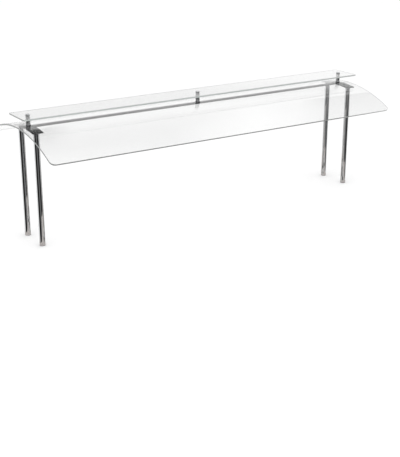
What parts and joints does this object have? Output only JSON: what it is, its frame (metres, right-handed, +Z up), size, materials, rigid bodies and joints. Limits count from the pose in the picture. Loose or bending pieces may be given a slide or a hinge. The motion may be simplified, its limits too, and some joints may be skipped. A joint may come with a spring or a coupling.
{
  "type": "buffet sneeze guard",
  "caption": "Bent glass canopy on chrome posts with arched end brackets and a crossbar, and a flat glass shelf above it on screw-capped standoffs, for a buffet counter.",
  "frame": {"origin": "centre of the footprint, level with the lower ends of the anchor studs; the worktop's upper face, which the feet stand on, is at Z = +0.05 m", "axes": "+X runs along the counter and the glass, +Y from the counter's front to its rear, +Z up"},
  "size_m": [2.24, 0.83, 0.7525],
  "materials": {
    "glass": "clear tempered, polished edges",
    "chrome": "mirror polished",
    "satin_steel": "satin, brushed along the bar",
    "zinc_steel": "bright zinc plated",
    "black_rubber": "matt",
    "clear_pad": "translucent silicone"
  },
  "bodies": {
    "frame": {"canopy_glass": "glass", "shelf_glass": "glass", "end_bracket_left": "satin_steel", "bracket_pad_left": "clear_pad", "end_bracket_right": "satin_steel", "bracket_pad_right": "clear_pad", "crossbar": "satin_steel", "crossbar_pad": "clear_pad", "post_front_left": "chrome", "top_plug_front_left": "zinc_steel", "bracket_screw_front_left": "zinc_steel", "foot_plug_front_left": "zinc_steel", "foot_gasket_front_left": "black_rubber", "anchor_stud_front_left": "zinc_steel", "anchor_nut_front_left": "zinc_steel", "post_front_right": "chrome", "top_plug_front_right": "zinc_steel", "bracket_screw_front_right": "zinc_steel", "foot_plug_front_right": "zinc_steel", "foot_gasket_front_right": "black_rubber", "anchor_stud_front_right": "zinc_steel", "anchor_nut_front_right": "zinc_steel", "post_rear_left": "chrome", "top_plug_rear_left": "zinc_steel", "bracket_screw_rear_left": "zinc_steel", "foot_plug_rear_left": "zinc_steel", "foot_gasket_rear_left": "black_rubber", "anchor_stud_rear_left": "zinc_steel", "anchor_nut_rear_left": "zinc_steel", "post_rear_right": "chrome", "top_plug_rear_right": "zinc_steel", "bracket_screw_rear_right": "zinc_steel", "foot_plug_rear_right": "zinc_steel", "foot_gasket_rear_right": "black_rubber", "anchor_stud_rear_right": "zinc_steel", "anchor_nut_rear_right": "zinc_steel", "standoff_screw_left": "zinc_steel", "canopy_grommet_left": "black_rubber", "standoff_barrel_left": "chrome", "shelf_grommet_left": "clear_pad", "standoff_screw_centre": "zinc_steel", "canopy_grommet_centre": "black_rubber", "standoff_barrel_centre": "chrome", "shelf_grommet_centre": "clear_pad", "standoff_screw_right": "zinc_steel", "canopy_grommet_right": "black_rubber", "standoff_barrel_right": "chrome", "shelf_grommet_right": "clear_pad"},
    "cap_gasket_left": {"cap_gasket_left": "clear_pad"},
    "screw_cap_left": {"screw_cap_left": "chrome"},
    "cap_gasket_centre": {"cap_gasket_centre": "clear_pad"},
    "screw_cap_centre": {"screw_cap_centre": "chrome"},
    "cap_gasket_right": {"cap_gasket_right": "clear_pad"},
    "screw_cap_right": {"screw_cap_right": "chrome"}
  },
  "joints": [
    {"name": "cap_lift_left", "type": "slide", "parent": "frame", "child": "cap_gasket_left", "axis": [0, 0, 1], "range_m": [0, 0.0125]},
    {"name": "cap_turn_left", "type": "hinge", "parent": "cap_gasket_left", "child": "screw_cap_left", "pos_m": [-1.055, 0, 0.75], "axis": [0, 0, 1], "range_deg": [0, 3600]},
    {"name": "cap_lift_centre", "type": "slide", "parent": "frame", "child": "cap_gasket_centre", "axis": [0, 0, 1], "range_m": [0, 0.0125]},
    {"name": "cap_turn_centre", "type": "hinge", "parent": "cap_gasket_centre", "child": "screw_cap_centre", "pos_m": [0, 0, 0.75], "axis": [0, 0, 1], "range_deg": [0, 3600]},
    {"name": "cap_lift_right", "type": "slide", "parent": "frame", "child": "cap_gasket_right", "axis": [0, 0, 1], "range_m": [0, 0.0125]},
    {"name": "cap_turn_right", "type": "hinge", "parent": "cap_gasket_right", "child": "screw_cap_right", "pos_m": [1.055, 0, 0.75], "axis": [0, 0, 1], "range_deg": [0, 3600]}
  ],
  "couplings": [
    {"joint": "cap_lift_left", "follows": "cap_turn_left", "m_per_rad": 0.00019894},
    {"joint": "cap_lift_centre", "follows": "cap_turn_centre", "m_per_rad": 0.00019894},
    {"joint": "cap_lift_right", "follows": "cap_turn_right", "m_per_rad": 0.00019894}
  ]
}
